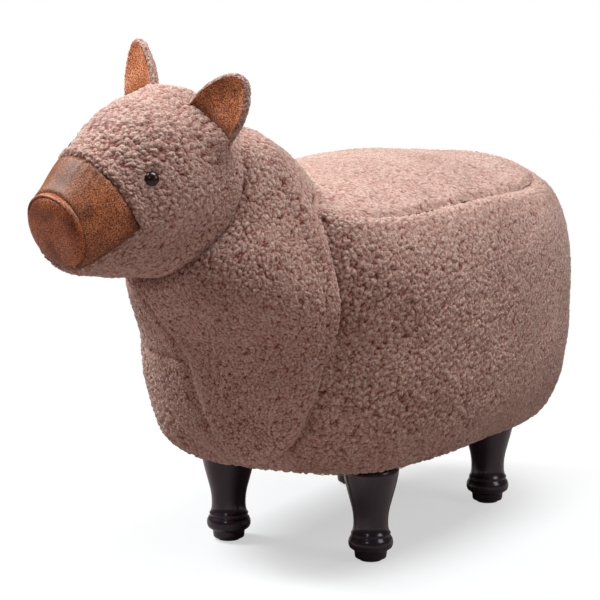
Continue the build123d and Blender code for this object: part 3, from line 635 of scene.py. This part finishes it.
# The last rows turn in behind the leather, and under the chin behind the nose panel
chin = between(edge_rise(place[-1]) - rise[-1], -2, 4)[:, None]
tuck = skin[-1] - normals_of(skin)[-1] * 6 + forward * 1.5
target = tuck + (nose_rim(skin[-1], 0.8) - tuck) * chin
tuck_in = np.linspace(0, 1, tuck_rows + 1)[1:, None, None]
to_seam = np.linalg.norm(skin - skin[-1], axis=2)
to_seam = np.concatenate([to_seam, np.zeros((tuck_rows, head_columns))])
skin = np.concatenate([skin, skin[-1] + (target - skin[-1]) * tuck_in])
eye_spots = {}
eye_place, eye_aside, eye_rise = 51, 62, 27
for side, sign in (("left", 1), ("right", -1)):
    width, top, bottom = head_size(eye_place)
    middle, tall = (top - bottom) / 2, (top + bottom) / 2
    angle = math.atan2((eye_rise - middle) / tall, eye_aside / width)
    angle = angle if sign > 0 else math.pi - angle
    patch = np.array([
        [head_world(place, *head_local(place, angle + turn)) for turn in (-0.02, 0, 0.02)]
        for place in (eye_place - 2, eye_place, eye_place + 2)
    ])
    eye_spots[side] = (patch[1, 1], normals_of(patch)[1, 1])
to_eye = np.min([np.linalg.norm(skin - spot, axis=2) for spot, _ in eye_spots.values()], axis=0)
to_neck = np.clip(outside_neck(skin), 0, None)
overhang = 1 - chin[:, 0]
lift = 2.2 * bell(to_seam - 5, 5) * overhang - 3.0 * bell(to_eye, 8) + 5.5 * bell(to_neck, 13)
# The fleece rolls up in front of each ear's foot
ear_rolls = (  # distance aside and above the head's middle line, and height of the roll
    (36, 66, 1.5), (47, 59, 2.5), (57, 49, 5), (64, 41, 11),
)
rolls_place, roll_width = -23, 13
for sign in (1, -1):
    for aside, above, roll in ear_rolls:
        spot = head_middle + rolls_place * forward + sign * aside * left + above * up
        lift = lift + roll * bell(np.linalg.norm(skin - spot, axis=2), roll_width)
# It is stuffed fullest along the top and under the chin
ahead, above = (skin - head_middle) @ forward, (skin - head_middle) @ up
lift = lift + 1.4 * bell(ahead - 25, 32) * between(above, 50, 68)
lift = lift + 2.5 * bell(ahead - 104, 12) * between(-above, 45, 60)
on_top = between(np.concatenate([rise, np.repeat(rise[-1:], tuck_rows, axis=0)]), 0, 55)
size, depth = 4.3 + 1.3 * on_top, 2.1 + 0.9 * on_top
head_fleece = fleece_sheet("head_fleece", skin, True, size, depth, lift, seed=31)
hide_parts("head_cover", "chin_cover")

# Muzzle: one piece of worn, orange-brown leather that wraps over the face from the face
# seam to the nose, its lower edges sewn flat on the fleece.
leather, leather_tree, leather_shader = principled("worn_leather", (0.28, 0.1, 0.035), 0.5)
leather_blotch = add_noise(leather_tree, 35, 4)
leather_grain = add_noise(leather_tree, 800, 6)
leather_tones = add_ramp(
    leather_tree,
    leather_blotch.outputs["Fac"],
    [(0.32, (0.16, 0.045, 0.013)), (0.5, (0.31, 0.097, 0.029)), (0.7, (0.4, 0.15, 0.066))],
)
leather_tones.name = "leather_tones"
leather_specks = add_ramp(
    leather_tree,
    leather_grain.outputs["Fac"],
    [(0.42, (0.14, 0.085, 0.085)), (0.53, (0.85, 0.8, 0.8)), (0.66, (1.25, 1.25, 1.25))],
)
# The wear value carries real wear, and also painted shade and painted highlights: below 0.5 it is
# darker, above it paler.
leather_wear_and_light = leather_tree.nodes.new("ShaderNodeAttribute")
leather_wear_and_light.attribute_name = "wear_and_painted_light"
leather_wear_light_tones = add_ramp(
    leather_tree,
    leather_wear_and_light.outputs["Fac"],
    [(0.0, (0.3, 0.24, 0.24)), (0.5, (1.0, 1.0, 1.0)), (1.0, (2.9, 3.3, 4.4))],
)
leather_mix = add_blend(
    leather_tree, "MULTIPLY", 0.9, leather_tones.outputs["Color"], leather_specks.outputs["Color"]
)
leather_mix = add_blend(leather_tree, "MULTIPLY", 1.0, leather_mix, leather_wear_light_tones.outputs["Color"])
leather_tree.links.new(leather_mix, leather_shader.inputs["Base Color"])
leather_shader.inputs["Specular IOR Level"].default_value = 0.35
add_bump(leather_tree, leather_shader, leather_grain.outputs["Fac"], 0.4 * mm)


def leather_sheet(name, points, wear_and_painted_light, material, closed=False):
    """A sheet of leather on a grid of points in millimetres; its wear value is 0.5 where it is
    plain, lower for dark seams and painted shade, higher for worn pale spots and painted
    highlights.
    """
    faces = grid_faces(*points.shape[:2], closed)
    made = mesh_object(name, points.reshape(-1, 3) * mm, faces, material)
    tone = made.data.attributes.new("wear_and_painted_light", "FLOAT", "POINT")
    tone.data.foreach_set("value", np.clip(np.broadcast_to(wear_and_painted_light, points.shape[:2]), 0, 1).ravel())
    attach(made, "root")
    return made


muzzle_rows, muzzle_columns, tuck_rows = 61, 181, 6
over = np.linspace(-1, 1, muzzle_columns)
back_to_nose = np.linspace(0, 1, muzzle_rows)[:, None]
# Place and angle depend on each other, so both are found in small steps
place = np.full((muzzle_rows, muzzle_columns), 90.0)
for _ in range(60):
    wide, top, bottom = head_size(place)
    middle, tall = (top - bottom) / 2, (top + bottom) / 2
    lowest = np.arcsin(np.clip((edge_rise(place) - middle) / tall, -1, 1))
    angle = math.pi / 2 + over * (math.pi / 2 - lowest)
    _, rise = head_local(place, angle)
    start = seam_place(rise)
    place = (place + start + back_to_nose * (nose_end(rise) - start)) / 2
muzzle = head_world(place, *head_local(place, angle))
from_seam = np.linalg.norm(muzzle - muzzle[0], axis=2)
from_nose = np.linalg.norm(muzzle - muzzle[-1], axis=2)
from_side = np.minimum(np.linalg.norm(muzzle - muzzle[:, :1], axis=2),
                       np.linalg.norm(muzzle - muzzle[:, -1:], axis=2))
# It puckers at the face seam, is folded in along its sides, and drawn in above the nose
puckers = 0.6 * np.sin(over * 70) * np.exp(-from_seam / 6)
folded = 0.9 * bell(from_side - 4, 3) - 1.6 * bell(from_side, 1.4)
above_nose = between(rise[-1], -12, 4)
press = puckers + folded - 2.5 * bell(from_seam, 3) + 0.8 * swell(muzzle, 26, 5) + 0.8
press = press - 2.2 * bell(from_nose, 3.5) * above_nose
muzzle = muzzle + normals_of(muzzle) * press[..., None]
# Dark in the seams, painted shade in the valley where it is drawn in above the nose, and worn pale
# on one side
worn_spot = head_world(92, 45, 2)
wear_and_painted_light = 0.5 - 0.28 * bell(from_side, 7) - 0.2 * bell(from_seam, 5)
wear_and_painted_light = wear_and_painted_light - 0.3 * bell(from_nose, 3) * above_nose
wear_and_painted_light = wear_and_painted_light + 0.34 * bell(np.linalg.norm(muzzle - worn_spot, axis=2), 22)
tuck_in = np.linspace(0, 1, tuck_rows + 1)[1:, None, None]
rim = nose_rim(muzzle[-1], 0.9)
muzzle = np.concatenate([muzzle, muzzle[-1] + (rim - muzzle[-1]) * tuck_in])
wear_and_painted_light = np.concatenate([wear_and_painted_light, np.full((tuck_rows, muzzle_columns), 0.2)])
muzzle_leather = leather_sheet("muzzle_leather", muzzle, wear_and_painted_light, leather)
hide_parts("muzzle_cover")

# Nose panel: an oval of redder leather sewn across the end of the muzzle, with a raised
# fold along its top that runs out down the sides.
nose_leather = leather.copy()
nose_leather.name = "nose_leather"
nose_tones = ((0.2, 0.047, 0.012), (0.42, 0.113, 0.03), (0.5, 0.165, 0.06))
nose_ramp = nose_leather.node_tree.nodes["leather_tones"].color_ramp
for point, colour in zip(nose_ramp.elements, nose_tones):
    point.color = (*colour, 1)
nose_radius = 40  # turns shares into millimetres, to step the profiles evenly
# Share of the outline and height over the muzzle's end, from the seam to the middle
nose_flat = ((0.98, -5.0), (1.0, -1.5), (1.003, 0.4), (0.985, 2.2), (0.945, 3.9), (0.89, 5.2),
             (0.8, 6.4), (0.66, 7.2), (0.36, 7.6), (0.02, 7.4))
nose_fold = ((0.98, -5.0), (0.995, -1.5), (1.0, 0.4), (0.995, 2.2), (0.978, 3.6), (0.953, 4.1),
             (0.932, 3.5), (0.91, 3.4), (0.88, 4.4), (0.82, 5.7), (0.72, 6.7), (0.62, 7.2),
             (0.36, 7.6), (0.02, 7.4))
flat, fold = (
    smooth_rows(np.array(rows) * (nose_radius, 1), 90) / (nose_radius, 1)
    for rows in (nose_flat, nose_fold)
)
angle = np.linspace(0, 2 * math.pi, 200, endpoint=False)
folded = between(np.sin(angle), 0.05, 0.5)
share, bulge = (flat[:, k:k + 1] + (fold - flat)[:, k:k + 1] * folded for k in (0, 1))
nose = nose_spot(share, angle) + bulge[..., None] * nose_out
# Painted shade in the groove inside the raised fold, and a painted highlight along its crest
groove, crest = bell(share - 0.921, 0.017), bell(share - 0.965, 0.02)
wear_and_painted_light = 0.5 - 0.35 * folded * groove + 0.12 * folded * crest
nose_oval = leather_sheet("nose_oval", nose, wear_and_painted_light, nose_leather, True)
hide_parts("nose_panel")

# Eyes: glossy, nearly black domes on stems, pushed through the fleece, sunk in its pile
# and held by washers inside.
eye_gloss, eye_tree, eye_shader = principled("eye_gloss", (0.012, 0.006, 0.004), 0.12)
eye_shader.inputs["Specular IOR Level"].default_value = 0.4
eye_depth = add_noise(eye_tree, 200, 2)
eye_tones = add_ramp(
    eye_tree, eye_depth.outputs["Fac"], [(0.4, (0.01, 0.004, 0.003)), (0.6, (0.03, 0.012, 0.008))]
)
eye_tree.links.new(eye_tones.outputs["Color"], eye_shader.inputs["Base Color"])
eye_profile = ((2.2, -14.0), (2.2, -0.6), (6.4, -0.6), (7.0, 0.2), (7.0, 1.2), (6.4, 2.7),
               (5.2, 4.1), (3.6, 5.0), (1.8, 5.45), (0.01, 5.6))
eye_sides, eye_sunk = 64, 3.2
for side, (spot, out) in eye_spots.items():
    dome = turned(f"eye_dome_{side}", eye_profile, (0, 0), eye_gloss, eye_sides)
    turn = Vector(out).to_track_quat("Z", "Y").to_matrix().to_4x4()
    dome.data.transform(Matrix.Translation(Vector((spot - eye_sunk * out) * mm)) @ turn)
    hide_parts(f"eye_{side}")
    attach(dome, "root")

# Ears: leather in front and fleece behind, sewn round the edge and turned, so that a rim
# of fleece shows, and then sewn to the head at the root.
ear_rows = np.array((  # height above the foot, and the reach to the inner and outer edge
    (-22.0, -27.0, 31.0), (-8.0, -28.0, 31.5), (6.0, -27.0, 31.0), (20.0, -23.5, 29.5),
    (32.0, -18.5, 26.0), (42.0, -12.5, 21.0), (49.0, -6.5, 16.0), (53.0, -0.5, 11.5),
    (54.5, 5.5, 5.5),
))
ear_rows = smooth_rows(ear_rows, 90)
ear_edge = np.concatenate([ear_rows[:, 1::-1], ear_rows[-2::-1, 2::-2]])
reach = np.concatenate([[0], np.cumsum(np.hypot(*np.diff(ear_edge, axis=0).T))])
even = np.linspace(0, reach[-1], 130)
ear_edge = np.stack([np.interp(even, reach, ear_edge[:, k]) for k in (0, 1)], axis=1)
along = np.gradient(ear_edge, axis=0)
ear_out = np.stack([-along[:, 1], along[:, 0]], axis=1) / np.linalg.norm(along, axis=1)[:, None]
ear_foot = np.array((0.5, -22.0))  # both sheets fan out from here to the edge
leather_inset, leather_lip = 2.6, 2.4
rim_inset, rim_wide, rim_tall, rim_middle = 2.4, 3.6, 4.4, -1.6  # the fleece round the edge
inner = np.linspace(0.02, 1, 30)[:, None, None]
turn = np.linspace(0, math.pi, 10)[1:, None, None]
leather_flat = ear_foot + (ear_edge - leather_inset * ear_out - ear_foot) * inner
leather_bow = 0.3 + leather_lip * inner[..., 0] ** 5 + 0 * even
fleece_flat = np.concatenate([ear_foot + (ear_edge - rim_inset * ear_out - ear_foot) * inner,
                              ear_edge + ear_out * (rim_wide * np.sin(turn) - rim_inset)])
fleece_bow = np.concatenate([rim_middle - rim_tall + 0 * inner[..., 0] * even,
                             rim_middle - rim_tall * np.cos(turn[..., 0]) + 0 * even])
for side, sign in (("left", 1), ("right", -1)):
    root, foot, climb, front = ear_frame(sign)
    sheets = [root + flat[..., :1] * foot + flat[..., 1:] * climb + bow[..., None] * front
              for flat, bow in ((leather_flat, leather_bow), (fleece_flat, fleece_bow))]
    leather_part, fleece_part = sheets[0][:, ::sign], sheets[1][:, ::-sign]
    # Painted shade low down towards the root, and paler along the rim
    wear_and_painted_light = 0.85 + 0.12 * bell(inner[..., 0] - 1, 0.1) - 0.4 * bell(leather_flat[..., 1] + 4, 12)
    made = leather_sheet(f"ear_leather_{side}", leather_part, wear_and_painted_light[:, ::sign], leather)
    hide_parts(f"ear_front_{side}")
    made = fleece_sheet(f"ear_fleece_{side}", fleece_part, False, 3.4, 1.6, 0.0, seed=41)
    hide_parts(f"ear_back_{side}")

# Floor, backdrop and lamps: a pale studio sweep under broad soft light from above and
# behind. The camera sees the sweep as white, with the shadow left on it.
stage_material, stage_tree, stage_shader = principled("studio_sweep", (0.4, 0.4, 0.4), 0.9)
seen = stage_tree.nodes.new("ShaderNodeLightPath")
pale = add_noise(stage_tree, 3, 2)
# The camera sees a pale floor, and the object is lit by a darker one
pale_tones, low_tones = (
    add_ramp(stage_tree, pale.outputs["Fac"], [(0.3, darker), (0.7, lighter)])
    for darker, lighter in (
        ((0.9, 0.9, 0.91), (0.94, 0.94, 0.95)), ((0.4, 0.33, 0.31), (0.42, 0.35, 0.33)),
    )
)
floor_tones = add_blend(
    stage_tree, "MIX", 0.5, low_tones.outputs["Color"], pale_tones.outputs["Color"]
)
stage_tree.links.new(seen.outputs["Is Camera Ray"], floor_tones.node.inputs[0])
stage_tree.links.new(floor_tones, stage_shader.inputs["Base Color"])
# To the camera it also glows white, more so further from the object
glow = stage_tree.nodes.new("ShaderNodeEmission")
glow_mix = stage_tree.nodes.new("ShaderNodeMixShader")
floor_place = stage_tree.nodes.new("ShaderNodeTexCoord")
floor_reach = stage_tree.nodes.new("ShaderNodeVectorMath")
floor_reach.operation = "LENGTH"
glow_growth = stage_tree.nodes.new("ShaderNodeMapRange")
for socket, value in (("From Min", 0.22), ("From Max", 0.62), ("To Min", 0.55), ("To Max", 1.0)):
    glow_growth.inputs[socket].default_value = value
glow_share = stage_tree.nodes.new("ShaderNodeMath")
glow_share.operation = "MULTIPLY"
stage_tree.links.new(floor_place.outputs["Object"], floor_reach.inputs[0])
stage_tree.links.new(floor_reach.outputs["Value"], glow_growth.inputs["Value"])
stage_tree.links.new(glow_growth.outputs["Result"], glow_share.inputs[1])
stage_tree.links.new(seen.outputs["Is Camera Ray"], glow_share.inputs[0])
stage_tree.links.new(glow_share.outputs[0], glow_mix.inputs[0])
stage_tree.links.new(stage_shader.outputs[0], glow_mix.inputs[1])
stage_tree.links.new(glow.outputs[0], glow_mix.inputs[2])
stage_tree.links.new(glow_mix.outputs[0], stage_tree.nodes["Material Output"].inputs["Surface"])
floor_corners = [(-9, -9, 0), (9, -9, 0), (9, 9, 0), (-9, 9, 0)]
floor = mesh_object("floor", floor_corners, [(0, 1, 2, 3)], stage_material, False)

world = bpy.data.worlds.new("studio")
bpy.context.scene.world = world
world.use_nodes = True
world_tree = world.node_tree
around = world_tree.nodes["Background"]
around.inputs["Color"].default_value = (1.0, 0.82, 0.8, 1)
around.inputs["Strength"].default_value = 0.13
white = world_tree.nodes.new("ShaderNodeBackground")
white.inputs["Color"].default_value = (1, 1, 1, 1)
world_seen = world_tree.nodes.new("ShaderNodeLightPath")
world_mix = world_tree.nodes.new("ShaderNodeMixShader")
world_tree.links.new(world_seen.outputs["Is Camera Ray"], world_mix.inputs[0])
world_tree.links.new(around.outputs[0], world_mix.inputs[1])
world_tree.links.new(white.outputs[0], world_mix.inputs[2])
world_tree.links.new(world_mix.outputs[0], world_tree.nodes["World Output"].inputs["Surface"])


def soft_lamp(name, place, size, power, aim):
    """A square lamp of slightly cool light; place, size and aim in metres, power in watts."""
    light = bpy.data.lights.new(name, "AREA")
    light.color = (0.94, 0.99, 1.0)
    light.size = size
    light.energy = power
    lamp = bpy.data.objects.new(name, light)
    lamp.location = place
    lamp.rotation_euler = (Vector(aim) - Vector(place)).to_track_quat("-Z", "Y").to_euler()
    bpy.context.scene.collection.objects.link(lamp)


soft_lamp("key_lamp", (0.6, 0.1, 2.2), 1.2, 51, (0, 0, 0.35))
soft_lamp("back_lamp", (-1.3, -0.4, 1.8), 0.9, 57, (0, -0.2, 0.45))
soft_lamp("side_lamp", (2.1, 0.0, 1.4), 0.9, 9, (0, 0, 0.3))
soft_lamp("front_lamp", (0.3, -2.2, 1.5), 0.4, 2.5, (0, -0.1, 0.2))

camera_azimuth, camera_rise, camera_distance = math.radians(29.1), math.radians(10.9), 3.33
camera_back = Vector((math.sin(camera_azimuth) * math.cos(camera_rise),
                      -math.cos(camera_azimuth) * math.cos(camera_rise), math.sin(camera_rise)))
camera_right = Vector((math.cos(camera_azimuth), math.sin(camera_azimuth), 0))
aim_aside, aim_height = -0.0643, 0.2352
aim = camera_right * aim_aside + Vector((0, barrel_y * mm, aim_height))
camera_data = bpy.data.cameras.new("camera")
camera_data.lens = 192
camera = bpy.data.objects.new("camera", camera_data)
camera.location = aim + camera_back * camera_distance
camera.rotation_euler = camera_back.to_track_quat("Z", "Y").to_euler()
bpy.context.scene.collection.objects.link(camera)
bpy.context.scene.camera = camera
bpy.context.scene.view_settings.view_transform = "Standard"
